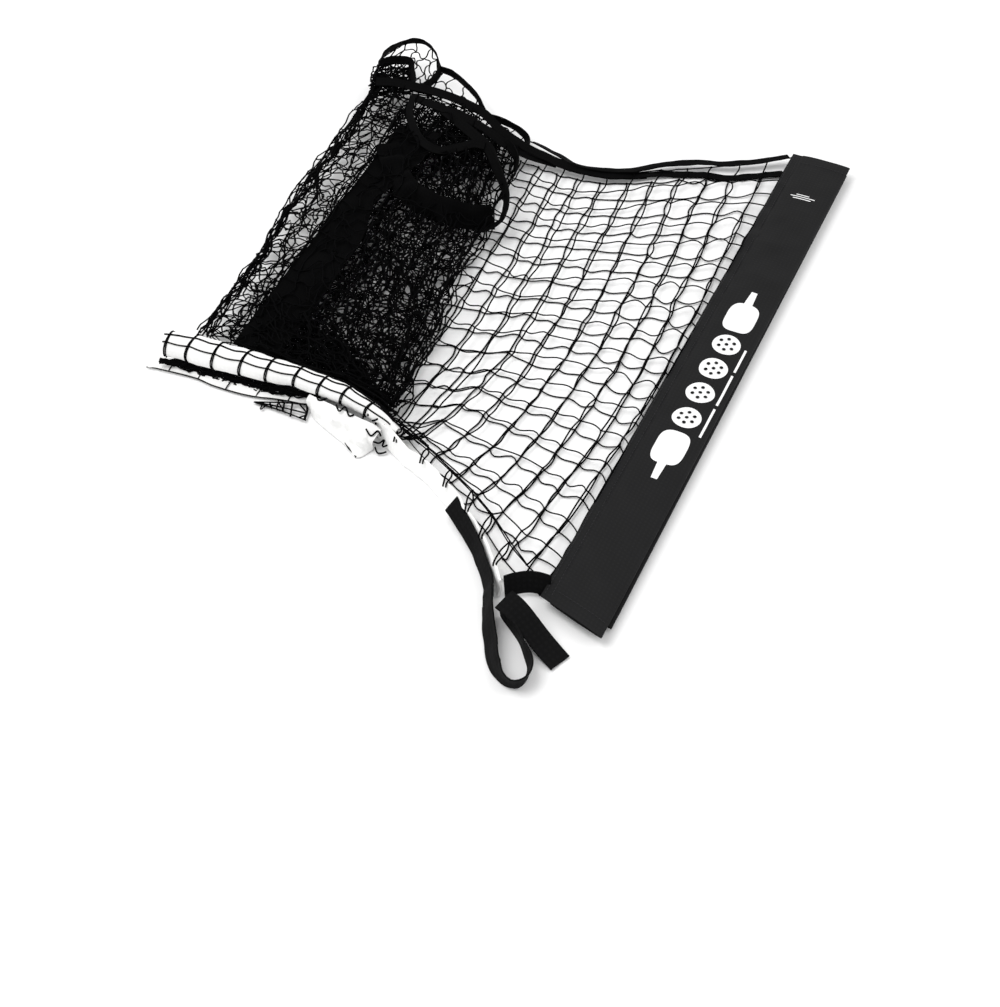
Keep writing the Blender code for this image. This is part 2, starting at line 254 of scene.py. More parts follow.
def weave(name, colour, rough, threads, depth, specular=0.1, sheen=0.0, mottle=0.25, slant=False):
    """Woven cloth: two sets of threads, slow changes of tone, and a bump. threads are per metre."""
    made, nodes, links, shader = material(name)
    source = nodes.new("ShaderNodeTexCoord").outputs["UV"]
    sets = []
    for axis in ("X", "Y"):
        wave = nodes.new("ShaderNodeTexWave")
        wave.wave_type = "BANDS"
        wave.bands_direction = "DIAGONAL" if slant and axis == "X" else axis
        wave.inputs["Scale"].default_value = threads / 20
        wave.inputs["Distortion"].default_value = 0.6
        wave.inputs["Detail"].default_value = 1
        links.new(source, wave.inputs["Vector"])
        sets.append(wave.outputs["Fac"])
    both = nodes.new("ShaderNodeMath")
    both.operation = "MULTIPLY"
    links.new(sets[0], both.inputs[0])
    links.new(sets[1], both.inputs[1])
    slow = nodes.new("ShaderNodeTexNoise")
    slow.inputs["Scale"].default_value = 22
    slow.inputs["Detail"].default_value = 5
    links.new(source, slow.inputs["Vector"])
    tone = nodes.new("ShaderNodeMath")
    tone.operation = "MULTIPLY_ADD"
    tone.inputs[1].default_value = 0.5
    links.new(both.outputs[0], tone.inputs[0])
    links.new(slow.outputs["Fac"], tone.inputs[2])
    ramp = nodes.new("ShaderNodeValToRGB")
    ramp.color_ramp.elements[0].position = 0.3
    ramp.color_ramp.elements[0].color = (*(c * (1 - mottle) for c in colour), 1)
    ramp.color_ramp.elements[1].position = 1.0
    ramp.color_ramp.elements[1].color = (*(min(1, c * (1 + mottle)) for c in colour), 1)
    links.new(tone.outputs[0], ramp.inputs["Fac"])
    links.new(ramp.outputs["Color"], shader.inputs["Base Color"])
    bump = nodes.new("ShaderNodeBump")
    bump.inputs["Strength"].default_value = 0.6
    bump.inputs["Distance"].default_value = depth
    links.new(tone.outputs[0], bump.inputs["Height"])
    links.new(bump.outputs["Normal"], shader.inputs["Normal"])
    finish_shader(shader, rough, specular, sheen)
    return made


def twine(name, colour, rough):
    """Twisted yarn: fibres as a fine noise in tone and bump."""
    made, nodes, links, shader = material(name)
    source = nodes.new("ShaderNodeTexCoord").outputs["Object"]
    noise = nodes.new("ShaderNodeTexNoise")
    noise.inputs["Scale"].default_value = 900
    noise.inputs["Detail"].default_value = 2
    links.new(source, noise.inputs["Vector"])
    ramp = nodes.new("ShaderNodeValToRGB")
    ramp.color_ramp.elements[0].color = (*(c * 0.6 for c in colour), 1)
    ramp.color_ramp.elements[1].color = (*(c * 1.5 for c in colour), 1)
    links.new(noise.outputs["Fac"], ramp.inputs["Fac"])
    links.new(ramp.outputs["Color"], shader.inputs["Base Color"])
    bump = nodes.new("ShaderNodeBump")
    bump.inputs["Distance"].default_value = 0.0002
    links.new(noise.outputs["Fac"], bump.inputs["Height"])
    links.new(bump.outputs["Normal"], shader.inputs["Normal"])
    finish_shader(shader, rough, 0.03)
    return made


netting = twine("netting", (0.0018, 0.0018, 0.0020), 0.85)
thread = twine("stitching", (0.042, 0.042, 0.045), 0.6)
cloth = weave("sleeve_cloth", (0.0072, 0.0072, 0.0076), 0.6, 1400, 0.00015, specular=0.14, sheen=0.012)
band_cloth = weave("band_cloth", (0.0016, 0.0016, 0.0017), 0.9, 1400, 0.00015, specular=0.03)
tape = weave("headband_tape", (0.90, 0.90, 0.89), 0.75, 1200, 0.00012, mottle=0.03)
binding = weave("binding_tape", (0.0021, 0.0021, 0.0022), 0.8, 1500, 0.0002, specular=0.04)
webbing = weave("strap_webbing", (0.0040, 0.0040, 0.0042), 0.8, 1100, 0.00035, specular=0.08, mottle=0.35)
ink, _, _, ink_shader = material("print")
ink_shader.inputs["Base Color"].default_value = (0.88, 0.88, 0.88, 1)
finish_shader(ink_shader, 0.5, 0.3)


# ---------------------------------------------------------------- camera, light and floor

camera = bpy.data.objects.new("camera", bpy.data.cameras.new("camera"))
camera.location = (0.6335, -1.2864, 1.2830)
camera.rotation_euler = (math.radians(42), 0, math.radians(24.78))
camera.data.lens = 60.42
camera.data.sensor_width = 36
bpy.context.collection.objects.link(camera)
bpy.context.scene.camera = camera
bpy.context.scene.view_settings.view_transform = "Standard"

world = bpy.data.worlds.new("studio")
world.use_nodes = True
world.node_tree.nodes["Background"].inputs["Color"].default_value = (1, 1, 1, 1)
world.node_tree.nodes["Background"].inputs["Strength"].default_value = 0.75
bpy.context.scene.world = world

for name, place, size, power in (
    ("key", (-0.9, -0.6, 2.2), 1.6, 34),
    ("fill", (1.6, 0.8, 2.0), 2.0, 14),
):
    light = bpy.data.lights.new(name, "AREA")
    light.size = size
    light.energy = power
    lamp = bpy.data.objects.new(name, light)
    lamp.location = place
    away = -np.array(place)
    lamp.rotation_euler = (
        math.atan2(math.hypot(away[0], away[1]), -away[2]), 0, math.atan2(away[1], away[0]) - math.pi / 2,
    )
    bpy.context.collection.objects.link(lamp)

floor_material, _, _, floor_shader = material("floor")
floor_shader.inputs["Base Color"].default_value = (0.93, 0.93, 0.93, 1)
floor_shader.inputs["Roughness"].default_value = 0.9
FLOOR = 40.0
FLOOR_Z = -0.0004
floor = add_mesh(
    "floor",
    [(-FLOOR, -FLOOR, FLOOR_Z), (FLOOR, -FLOOR, FLOOR_Z), (FLOOR, FLOOR, FLOOR_Z), (-FLOOR, FLOOR, FLOOR_Z)],
    [(0, 1, 2, 3)], floor_material,
)


# ---------------------------------------------------------------- flat netting

COLS = 11  # the first columns come out of the stack, and the last is gathered into the sleeve's seam
SEAM_X = 0.2418
PANEL_LOW = 0.0068


def panel_place(near, middle, far, height, squeeze):
    """Where a flat panel's cells lie: near and far are its edges by column, middle is their x halfway."""
    near, far, middle = np.array(near), np.array(far), np.array(middle)
    columns = np.arange(COLS + 1)

    def place(u, v):
        share, w = np.clip(u / COLS, 0, 1), np.clip(v / ROWS, 0, 1)
        edges = (near[:, 0], near[:, 1], far[:, 0], far[:, 1], middle)
        ax, ay, bx, by, mx = (np.interp(u, columns, edge) for edge in edges)
        near_part = (ax - mx) * np.clip(1 - w / 0.42, 0, 1) ** 1.7
        x = mx + near_part + (bx - mx) * np.clip((w - 0.45) / 0.55, 0, 1) ** 1.4
        knee, soft = squeeze * (1 - share) ** 1.2, 0.07 * (1 - share) + 0.001
        bend = lambda w: 0.5 * (w - knee + np.sqrt((w - knee) ** 2 + soft**2))
        y = ay + (by - ay) * (bend(w) - bend(0.0)) / (bend(1.0) - bend(0.0))
        y -= 0.014 * np.clip(u - COLS + 1, 0, 1) * np.clip(np.minimum(w, 1 - w) * 9, 0, 1)
        return np.stack([x, y, height(share, w)], axis=1)

    return place


def upper_height(share, w):
    fall = np.maximum(0, 1 - share / 0.25) ** 1.3 * (1 - 0.62 * ramp_up(w, 0.80, 0.97))
    rise = np.maximum(0, (share - 0.80) / 0.20) ** 1.5
    z = PANEL_LOW + (LEAF[2] - 0.002 - PANEL_LOW) * fall + 0.0068 * rise
    z = z + 0.0016 * np.sin(w * 23 + share * 9)
    return z + np.maximum(0, 0.0200 - z) * np.clip(1 - w / 0.11, 0, 1) ** 1.4 * (1 - rise)


def lower_height(share, w):
    rise = np.maximum(0, (share - 0.80) / 0.20) ** 1.5
    return 0.0012 + 0.0030 * rise


near_edge = [(-0.0160, -0.2000), (-0.0080, -0.2020), (-0.0010, -0.2060), (0.0060, -0.2085), (0.0200, -0.1995),
             (0.0567, -0.2149), (0.0913, -0.2318), (0.1234, -0.2491), (0.1555, -0.2701), (0.1868, -0.2960),
             (0.2149, -0.3145), (0.2400, -0.3250)]
middle = [-0.0330, -0.0080, 0.0170, 0.0430, 0.0700, 0.0980, 0.1270, 0.1560, 0.1830, 0.2090, 0.2340, SEAM_X]
far_edge = [(-0.0560, 0.2950), (-0.0320, 0.2950), (-0.0080, 0.2955), (0.0170, 0.2985), (0.0450, 0.3060),
            (0.0740, 0.3220),
            (0.1000, 0.3420), (0.1270, 0.3600), (0.1550, 0.3770), (0.1830, 0.3950), (0.2140, 0.4150),
            (SEAM_X, 0.4270)]
upper_place = panel_place(near_edge, middle, far_edge, upper_height, 0.20)


def sagging(rest, way, least, lean):
    """How a panel's strands bow: little by its edges, and further where they hang loose."""

    def bows(i, j):
        loose = ramp_up(i, 3.5, 8) * ramp_up(j, 3, 8)
        arc = way * loose * rng.uniform(least, 0.26, len(i)) * np.where(rng.random(len(i)) < 0.8, 1, -0.6)
        swing = lean * (1 - loose) + rng.normal(0, 0.03, len(i))
        seam = i >= COLS - 1
        return np.where(seam, 0.02, rest + arc), np.where(seam, 0, swing)

    return bows


upper_across = sagging(0.02, 1, 0.06, -0.05)
lower_across = sagging(-0.03, -1, 0.04, -0.06)


def panel_along(i, j):
    return rng.normal(0, 0.045, len(i)), rng.normal(0, 0.02, len(i))


upper_lines = net_lines(
    upper_place, COLS, ROWS, 7, 0.035, 0.0006, panel_along, upper_across, radii=(STRAND, STRAND * 0.86)
)
upper_net = strands("upper_netting", upper_lines, netting, "hinged")
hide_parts("netting_upper_panel")

lower_place = panel_place(
    [(x - 0.004 - 0.004 * (k < 8), y - 0.008 * (k > 4)) for k, (x, y) in enumerate(near_edge)],
    [x - 0.012 * max(0, 1 - k / 9) for k, x in enumerate(middle)],
    [(x - 0.012 * max(0, 1 - k / 8), y - 0.018 * min(1, k / 6)) for k, (x, y) in enumerate(far_edge)],
    lower_height, 0.17,
)
lower_net = strands(
    "lower_netting",
    net_lines(
        lower_place, COLS, ROWS, 7, 0.04, 0.0002, panel_along, lower_across, radii=(STRAND, STRAND * 0.86)
    ),
    netting, "folded_net",
)
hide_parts("netting_lower_panel")


# ---------------------------------------------------------------- the folded stack

LAYERS = 12
LONG_LAYERS = {2, 4, 6, 8, 10}  # the folds that stick out past the others, beyond the centre band
STACK_NEAR, STACK_TOP = -0.176, 0.0410


def outer_left(y, z):
    ys, xs = (-0.16, -0.04, 0.04, 0.15, 0.27, 0.35), (-0.252, -0.256, -0.264, -0.283, -0.291, -0.302)
    line = np.interp(y, ys, xs)
    return line - 0.7 * (0.030 - z)


def band_left(y):
    return -0.2065 - 0.048 * y


def stack_right(y):
    return np.interp(
        y, (-0.19, -0.12, -0.06, 0.01, 0.09, 0.16, 0.21, 0.26, 0.33),
        (0.004, 0.003, -0.010, -0.014, -0.036, -0.033, -0.046, -0.060, -0.085),
    )


def far_end(x):
    return 0.288 + 0.042 * ramp_up(-x, 0.05, 0.16)


def layer_place(layer, cols, rows, far, squeeze, left_in, right_in, skew):
    noise_x, noise_y = waves(0.07, 100 + layer), waves(0.07, 140 + layer)
    height = 0.0022 + (STACK_TOP - 0.0022) * layer / (LAYERS - 1)

    def place(u, v):
        w = np.clip(v / rows, 0, 1)
        c = np.clip(u / cols + skew * (w - 0.5), 0.0, 1.0)
        inside = np.clip(np.minimum(c, 1 - c) / 0.12, 0, 1)
        c = c + 0.014 * inside * np.sin(u * 2.1 + w * 9 + layer)
        y = STACK_NEAR + (0.31 - STACK_NEAR) * w
        left = (outer_left(y, height) if layer in LONG_LAYERS else band_left(y)) + left_in
        x = left + (stack_right(y) - right_in - left) * c
        x = x + 0.0035 * noise_x(x, y) * (0.35 + 0.65 * inside)
        y = STACK_NEAR + (far(x) - STACK_NEAR) * w**squeeze + 0.0035 * noise_y(x, y) * np.clip(w * 6, 0, 1)
        dip = (0.60 + 0.40 * inside**0.7) * (0.80 + 0.20 * np.clip((1 - w) / 0.15, 0, 1))
        z = height * dip + 0.0012 * noise_x(y * 1.3, x * 1.1)
        return np.stack([x, y, np.clip(z, 0.0012, 0.0440)], axis=1)

    return place


def loose_along(i, j):
    return rng.normal(0, 0.13, len(i)), rng.normal(0, 0.07, len(i))


def loose_across(i, j):
    return rng.normal(0, 0.26, len(i)), rng.normal(0, 0.12, len(i))


stack_lines = []
for layer in range(LAYERS):
    cols = 8 if layer in LONG_LAYERS else 6
    place = layer_place(
        layer, cols, ROWS, far_end, 1.22,
        rng.uniform(0.0, 0.006) if layer in LONG_LAYERS else rng.uniform(0.004, 0.034),
        rng.uniform(0.0, 0.030), rng.uniform(-0.24, 0.08),
    )
    stack_lines += net_lines(place, cols, ROWS, 5, 0.10, 0.0009, loose_along, loose_across, knot=1.6)
loose_lines = []
for layer in sorted(set(range(3, LAYERS)) - LONG_LAYERS):
    # where the headband's roll pulls the netting together
    place = layer_place(
        layer, 10, 5, lambda x: -0.075 - 0.42 * (x + 0.20), 1.1, 0.004,
        rng.uniform(0, 0.010), rng.uniform(-0.2, 0.1),
    )
    loose_lines += net_lines(place, 10, 5, 4, 0.12, 0.0009, loose_along, loose_across, knot=1.5)


def patch(corners, cols, rows, sub=4):
    """Crumpled netting over four corners, in order round it."""
    a, b, c, d = (np.array(corner) for corner in corners)

    def place(u, v):
        u, v = np.clip(u / cols, 0, 1)[:, None], np.clip(v / rows, 0, 1)[:, None]
        return a * (1 - u) * (1 - v) + b * (1 - u) * v + c * u * v + d * u * (1 - v)

    return net_lines(place, cols, rows, sub, 0.26, 0.0016, loose_along, loose_across, knot=1.5)


for z, out in ((0.022, 0.010), (0.027, 0.0), (0.030, 0.004), (0.033, 0.0), (0.036, 0.007), (0.039, 0.0)):
    loose_lines += patch(
        [(-0.2850 - out / 2, 0.3120, z), (-0.2990 - out, 0.3560, z), (-0.2650, 0.3800, z), (-0.2380, 0.3350, z)],
        5, 5, 6,
    )
for z in (0.034, 0.039):
    loose_lines += patch(
        [(-0.2780, 0.2500, z), (-0.2780, 0.3320, z), (-0.1400, 0.3260, z), (-0.1100, 0.2200, z)], 8, 5, 5
    )
for z in (0.012, 0.026):
    loose_lines += patch(
        [(-0.1600, 0.2300, z), (-0.1700, 0.3250, z), (-0.0700, 0.2950, z), (-0.0560, 0.2350, z)], 6, 6
    )


def bunch(points, count, spread, seed):
    """Lengthwise strands lying close together along a fold."""
    path = smooth(points, 60)
    run = np.linspace(0, 1, 61)
    lines = []
    for k in range(count):
        noise = waves(0.16, seed + k)
        off = spread * (rng.uniform(-1, 1) + 0.5 * noise(run, 0 * run))
        lift = 0.5 * spread * noise(run, 0 * run + 0.5)
        lines.append((path + np.stack([off, 0 * off, lift], axis=1), STRAND))
    return lines


loose_lines += bunch(
    [(-0.2840, 0.325, 0.034), (-0.2760, 0.283, 0.032), (-0.2690, 0.228, 0.031), (-0.2660, 0.150, 0.030),
     (-0.2620, 0.060, 0.029), (-0.2510, -0.020, 0.028), (-0.2480, -0.065, 0.028), (-0.2450, -0.120, 0.028),
     (-0.2420, -0.168, 0.028)], 9, 0.0050, 300)
loose_lines += bunch(
    [(-0.0700, 0.250, 0.028), (-0.0560, 0.200, 0.029), (-0.0440, 0.140, 0.029), (-0.0440, 0.090, 0.029),
     (-0.0300, 0.040, 0.029), (-0.0220, -0.030, 0.028), (-0.0160, -0.080, 0.028), (-0.0060, -0.130, 0.028),
     (-0.0020, -0.180, 0.027)], 4, 0.0100, 330)
loose_lines += bunch(
    [(-0.2240, 0.300, 0.038), (-0.2180, 0.220, 0.038), (-0.2120, 0.100, 0.037), (-0.2050, -0.030, 0.037),
     (-0.2030, -0.168, 0.036)], 4, 0.0040, 350)
stack_net = strands("stack_netting", stack_lines, netting, "folded_net", sides=4)
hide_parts("netting_folded_stack")
loose_net = strands("stack_outer_netting", loose_lines, netting, "folded_net", sides=4)
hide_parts("netting_outer_fold")

BAND_WIDTH = 0.056
v = np.linspace(0, 1, 60)
y = -0.176 + v * 0.436
x = -0.2065 - 0.045 * y
wide = np.linspace(0, BAND_WIDTH, 9)
band_noise = waves(0.12, 31)
drawn_in = 1 - 0.30 * np.exp(-(((y - 0.11) / 0.05) ** 2))
band_x = x[:, None] + wide[None, :] * drawn_in[:, None]
band_y = np.broadcast_to(y[:, None], band_x.shape)
band = np.stack([band_x, band_y, 0.0345 + 0.0012 * band_noise(band_x, band_y)], axis=-1)
centre = slab("centre_band_cloth", band, 0.0008, band_cloth, "folded_net")
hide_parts("centre_band")
turned = slab(
    "centre_band_turned",
    tape_grid(
        [(-0.2100, 0.2120, 0.0362), (-0.1730, 0.1660, 0.0364), (-0.1419, 0.1400, 0.0364),
         (-0.1075, 0.1290, 0.0362),
         (-0.0768, 0.1286, 0.0350), (-0.0540, 0.1350, 0.0320), (-0.0390, 0.1480, 0.0290)],
        0.030, (2, 10, 24, 36, 44, 60), count=60, across=8, ripple=0.0022, seed=33,
    ),
    0.0008, band_cloth, "folded_net",
)


# ---------------------------------------------------------------- headband

def round_grid(path_points, flat_radii, tall_radii, count, angles, crumple=0.0, seed=1, wind=0.0):
    """The grid of cloth wrapped round a path, and a function that puts a point on it by share and angle.

    wind is how far each whole turn of the cloth lies inside the one before.
    """
    path = smooth(path_points, count)
    way = unit(np.gradient(path, axis=0))
    left = unit(np.stack([-way[:, 1], way[:, 0], np.zeros(len(way))], axis=1))
    up = np.cross(way, left)
    spots = np.linspace(0, 1, count + 1)
    noise = waves(0.04, seed)
    length = np.linalg.norm(np.diff(path, axis=0), axis=1).sum()

    def on(share, angle, out=0.0):
        share, angle = np.broadcast_arrays(np.asarray(share, float), np.asarray(angle, float))
        a = np.radians(angle)
        pick = lambda table: np.stack([np.interp(share, spots, table[:, k]) for k in range(3)], axis=-1)
        flat = np.interp(share, np.linspace(0, 1, len(flat_radii)), flat_radii) + out
        tall = np.interp(share, np.linspace(0, 1, len(tall_radii)), tall_radii) + out
        swell = 1 + crumple * noise(share * length, a * 0.014)
        aside = pick(left) * (np.cos(a) * flat * swell)[..., None]
        return pick(path) + aside + pick(up) * (np.sin(a) * tall * swell)[..., None]

    inward = -wind * np.maximum(0, angles - 200) / 360
    return on(spots[:, None], angles[None, :], inward[None, :]), on


ROLL_PATH = [(-0.2700, -0.1995, 0.0265), (-0.2500, -0.1945, 0.0265), (-0.2200, -0.1930, 0.0270),
             (-0.1850, -0.1910, 0.0280),
             (-0.1500, -0.1892, 0.0285), (-0.1150, -0.1868, 0.0295), (-0.0850, -0.1870, 0.0300),
             (-0.0550, -0.1900, 0.0305),
             (-0.0200, -0.1975, 0.0305), (0.0040, -0.2045, 0.0290), (0.0200, -0.2115, 0.0250)]
roll_grid, on_roll = round_grid(
    ROLL_PATH, [0.0120, 0.0150, 0.0150, 0.0140, 0.0125, 0.0115, 0.0110, 0.0110, 0.0095, 0.0075, 0.0030],
    [0.0140, 0.0160, 0.0162, 0.0152, 0.0138, 0.0128, 0.0122, 0.0122, 0.0115, 0.0105, 0.0060],
    90, np.linspace(-75, 600, 62),
    crumple=0.03, seed=41, wind=0.0042,
)
roll = slab("headband_roll", roll_grid, 0.0010, tape, "folded_net")
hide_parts("headband_stack_roll")

# The netting's edge loops, lying over the roll.
over_roll = []
turns = np.linspace(18, 215, 22)
for k, share in enumerate(np.linspace(0.012, 0.86, 9) + rng.normal(0, 0.004, 9)):
    for side in (-1, 1):
        lean = 0.011 * np.cos(np.radians(turns - 40)) + side * 0.0022 * np.clip((turns - 30) / 120, 0.3, 1.2)
        over_roll.append((on_roll(share + lean, turns + 6 * side, 0.0011), STRAND * 0.85))
share = np.linspace(0.0, 0.97, 110)
drape = 7 * np.abs(np.sin((share - 0.012) / 0.106 * math.pi)) + 2 * np.sin(share * 31)
over_roll.append((on_roll(share, 88 + drape, 0.0012), STRAND))
over_roll.append((on_roll(share, 128 + drape * 0.8 + 10 * share, 0.0012), STRAND * 0.9))
over_roll.append((on_roll(share[60:], 62 + drape[60:], 0.0012), STRAND))
for top, first, last in (
    (1, (-0.0552, -0.1773, 0.0400), (0.0470, -0.2067, 0.0280)),
    (0, (-0.0536, -0.1860, 0.0420), (0.0485, -0.2178, 0.0250)),
):
    middle_point = (-0.0100, -0.1900 - 0.008 * (1 - top), 0.0415)
    next_point = (0.0190, -0.2010 - 0.009 * (1 - top), 0.0350)
    over_roll.append((smooth([first, middle_point, next_point, last], 40), STRAND))
roll_net = strands("roll_edge_loops", over_roll, netting, "folded_net")

# The netting gathered under the roll, down to the lower run of the headband.
under_lines = []
under_path = smooth([(-0.2720, -0.2120, 0), (-0.2450, -0.2040, 0), (-0.2150, -0.2010, 0),
                     (-0.1780, -0.1990, 0),
                     (-0.1450, -0.1960, 0), (-0.1100, -0.1910, 0), (-0.0850, -0.1900, 0)], 70)
run = np.linspace(0, 1, 71)
for k in range(26):
    noise = waves(0.09, 400 + k)
    row = rng.random()
    belly = np.sin(math.pi * np.clip(run * 0.92 + 0.06, 0, 1)) ** 0.6
    z = 0.0150 - 0.0125 * row * belly + 0.0010 * noise(run, 0 * run)
    y = under_path[:, 1] - 0.0055 * row * belly + 0.0010 * noise(run, 1 + 0 * run)
    under_lines.append((np.stack([under_path[:, 0], y, np.maximum(z, 0.0012)], axis=1), STRAND * 1.1))
triangle = np.array([(-0.1521, -0.2170, 0.0025), (-0.0870, -0.2190, 0.0040), (-0.0950, -0.1985, 0.0060)])
for k in range(9):
    share = (k + 1 + rng.uniform(-0.4, 0.4, 2)) / 9.5
    a = triangle[0] + (triangle[1] - triangle[0]) * share[0]
    b = triangle[0] + (triangle[2] - triangle[0]) * share[1]
    mid = (a + b) / 2 + rng.normal(0, 0.0040, 3) * (1, 1, 0.2)
    under_lines.append((smooth([a, mid, b], 8), STRAND * rng.uniform(0.8, 1.6)))
for k in (0.0, 0.42, 1.0):
    end = triangle[1] + (triangle[2] - triangle[1]) * k
    halfway = (triangle[0] + end) / 2 + (0, 0.001, 0)
    under_lines.append((smooth([triangle[0], halfway, end], 10), STRAND * 1.2))
under_net = strands("roll_gathered_netting", under_lines, netting, "folded_net", sides=4)

LOWER_FOLD = [(-0.2875, -0.2120, 0.0050), (-0.2738, -0.2095, 0.0055), (-0.2303, -0.2050, 0.0055),
              (-0.2036, -0.2070, 0.0055),
              (-0.1649, -0.2045, 0.0055), (-0.1260, -0.1950, 0.0055), (-0.0940, -0.1900, 0.0055)]
lower_fold = slab(
    "headband_lower_fold", tape_grid(LOWER_FOLD, 0.0150, 28, count=90, ripple=0.0005, seed=4),
    0.0010, tape, "folded_net",
)
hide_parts("headband_stack_lower_run")
edge = smooth(LOWER_FOLD, 60) + np.array((0, -0.0068, -0.0028))
ticks = [edge]
for k in (8, 19, 30, 41, 52):
    ticks.append(np.array([edge[k], edge[k] + (0.0010, 0.0040, 0.0028), edge[k] + (0.0030, 0.0090, 0.0060)]))
tick_lines = [(np.maximum(tick, (-9, -9, 0.0010)), STRAND * 0.8) for tick in ticks]
lower_loops = strands("lower_edge_loops", tick_lines, netting, "folded_net")

top_edge = smooth([(-0.0940, -0.1960, 0.0190), (-0.0836, -0.2000, 0.0225), (-0.0543, -0.2060, 0.0250),
                   (-0.0281, -0.2100, 0.0250),
                   (-0.0080, -0.2110, 0.0235), (0.0010, -0.2130, 0.0205)], 44)
low_edge = smooth([(-0.0930, -0.2000, 0.0015), (-0.0811, -0.2110, 0.0012), (-0.0556, -0.2225, 0.0012),
                   (-0.0320, -0.2320, 0.0012),
                   (-0.0130, -0.2425, 0.0012), (-0.0040, -0.2260, 0.0012)], 44)
b = np.linspace(0, 1, 15)[None, :, None]
flap = top_edge[:, None] * (1 - b) + low_edge[:, None] * b
crease = waves(0.022, 71)(flap[..., 0] * 1.0, flap[..., 1] * 1.6)
bulge = np.sin(math.pi * b[..., 0]) * (0.0045 + 0.0022 * crease)
flap = flap + np.stack([0 * bulge, -0.75 * bulge, 0.8 * bulge], axis=-1)
curl = slab("headband_curl", flap, 0.0010, tape, "folded_net")
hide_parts("headband_rolled_end")

CURLY = [
    [(-0.0830, -0.1990, 0.0235), (-0.0790, -0.2030, 0.0235), (-0.0735, -0.2020, 0.0245),
     (-0.0700, -0.1960, 0.0250)],
    [(-0.0568, -0.2043, 0.0260), (-0.0487, -0.2117, 0.0270), (-0.0453, -0.2046, 0.0280),
     (-0.0366, -0.2133, 0.0270), (-0.0325, -0.2098, 0.0265)],
    [(-0.0169, -0.2086, 0.0300), (-0.0156, -0.2031, 0.0340), (-0.0081, -0.2023, 0.0345),
     (-0.0045, -0.2094, 0.0320), (-0.0092, -0.2125, 0.0300)],
    [(-0.0136, -0.2191, 0.0220), (-0.0053, -0.2239, 0.0200), (-0.0012, -0.2166, 0.0220),
     (0.0044, -0.2200, 0.0200)],
    [(0.0130, -0.2095, 0.0280), (0.0188, -0.2052, 0.0290), (0.0239, -0.2115, 0.0270),
     (0.0183, -0.2175, 0.0240), (0.0218, -0.2210, 0.0220)],
    [(-0.0040, -0.2239, 0.0120), (0.0035, -0.2232, 0.0120), (0.0060, -0.2166, 0.0120),
     (0.0080, -0.2244, 0.0100), (0.0116, -0.2178, 0.0080)],
    [(-0.0010, -0.2250, 0.0060), (0.0040, -0.2290, 0.0030), (0.0090, -0.2270, 0.0030),
     (0.0120, -0.2240, 0.0035)],
    [(-0.0330, -0.2310, 0.0040), (-0.0260, -0.2360, 0.0030), (-0.0180, -0.2400, 0.0025),
     (-0.0140, -0.2430, 0.0020)],
]
curly = strands("loose_edge_loops", [(smooth(c, 22), STRAND * 1.1) for c in CURLY], netting, "folded_net")

RUN_LINE = [(-0.0050, -0.2075, 0.0175), (0.024, -0.2230, 0.0160), (0.045, -0.2330, 0.0145),
            (0.076, -0.2450, 0.0135),
            (0.119, -0.2720, 0.0130), (0.160, -0.3060, 0.0130), (0.184, -0.3300, 0.0130),
            (0.2010, -0.3480, 0.0130)]
run_widths = (80, 80, 78, 74, 74, 78, 84)
run_grid = tape_grid(RUN_LINE, 0.0245, run_widths, count=80, ripple=0.0007, seed=6, curl=0.10)
upper_run = slab("headband_run", run_grid, 0.0022, tape, "hinged")
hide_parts("headband_upper_run")

# The upper panel's edge loops, hooked over the headband.
HOOKS = [(0.0229, -0.2210), (0.0611, -0.2369), (0.0969, -0.2562), (0.1321, -0.2790), (0.1592, -0.3030),
         (0.1872, -0.3300)]
hook_lines = []
for k, ((hx, hy), (nx, ny)) in enumerate(zip(HOOKS, near_edge[4:])):
    for side in (-1, 1):
        start = np.array((nx, ny, 0.0200))
        end = np.array((hx + side * 0.0016, hy, 0.0262))
        mid = (start + end) / 2 + np.array((side * 0.0022 + 0.001, 0, 0.0015))
        hook_lines.append((smooth([start, mid, end, end + (0.0005, -0.0035, -0.0030)], 12), STRAND))
margin = np.array([(x, y, 0.0200) for x, y in near_edge[4:11]])
hook_lines.append((smooth(margin + (0.0012, -0.0022, -0.0012), 70), STRAND * 0.8))
hook_start = np.vstack([[(0.0040, -0.2110, 0.0290)], margin[:2] + (0, 0.001, 0.002)])
hook_lines.append((smooth(hook_start, 20), STRAND * 1.2))
hooks = strands("run_edge_loops", hook_lines, netting, "hinged")

lower_tape = slab(
    "headband_lower_tape",
    tape_grid([(0.0160, -0.2000, 0.0008), (0.060, -0.2300, 0.0008), (0.110, -0.2610, 0.0008),
               (0.160, -0.3020, 0.0008),
               (0.2050, -0.3260, 0.0008)], 0.014, 0, seed=7),
    0.0008, tape, "folded_net",
)
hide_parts("headband_lower_run")


# ---------------------------------------------------------------- binding

